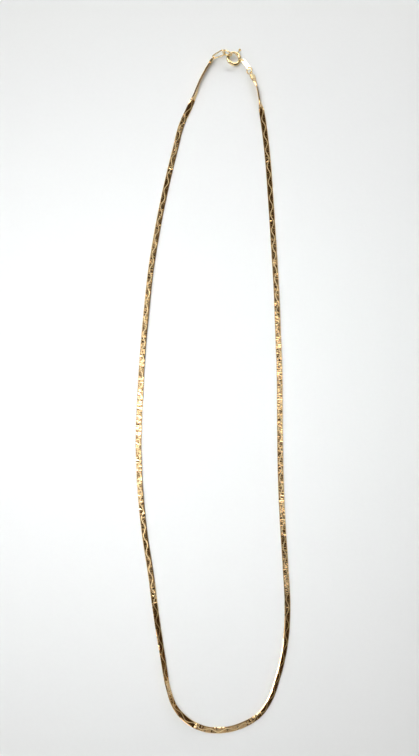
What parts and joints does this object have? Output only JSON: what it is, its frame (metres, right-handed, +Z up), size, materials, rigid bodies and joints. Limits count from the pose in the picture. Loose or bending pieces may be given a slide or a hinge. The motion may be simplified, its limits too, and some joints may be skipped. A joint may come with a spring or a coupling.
{
  "type": "flat snake chain necklace",
  "caption": "Flat snake chain necklace lying as a long narrow closed loop: polished slanted-link band with a wave-cut face, spring-ring clasp and bare end plate.",
  "frame": {"origin": "on the surface the necklace lies on, at the middle of its outline", "axes": "+Y towards the clasp, +X to the right as seen from above, +Z up from the surface"},
  "size_m": [0.0476, 0.2144, 0.0036],
  "materials": {
    "chain_gold": "mirror polished, links with a fine cut wave",
    "clasp_gold": "polished",
    "plate_gold": "bright polished, left bare"
  },
  "bodies": {
    "necklace": {"chain_left": "chain_gold", "chain_right": "chain_gold", "end_cap_left": "clasp_gold", "end_cap_right": "clasp_gold", "drop_link": "clasp_gold", "catch_ring": "clasp_gold", "spring_ring": "clasp_gold", "end_plate": "plate_gold", "plate_ring": "clasp_gold"},
    "bolt": {"bolt": "clasp_gold"}
  },
  "joints": [
    {"name": "bolt_slide", "type": "hinge", "parent": "necklace", "child": "bolt", "pos_m": [0.00685, 0.1035, 0.00102], "axis": [-0.2419, 0, -0.9703], "range_deg": [0, 45], "stiffness_Nm_per_rad": 0.0002, "springref_deg": -57.3}
  ]
}
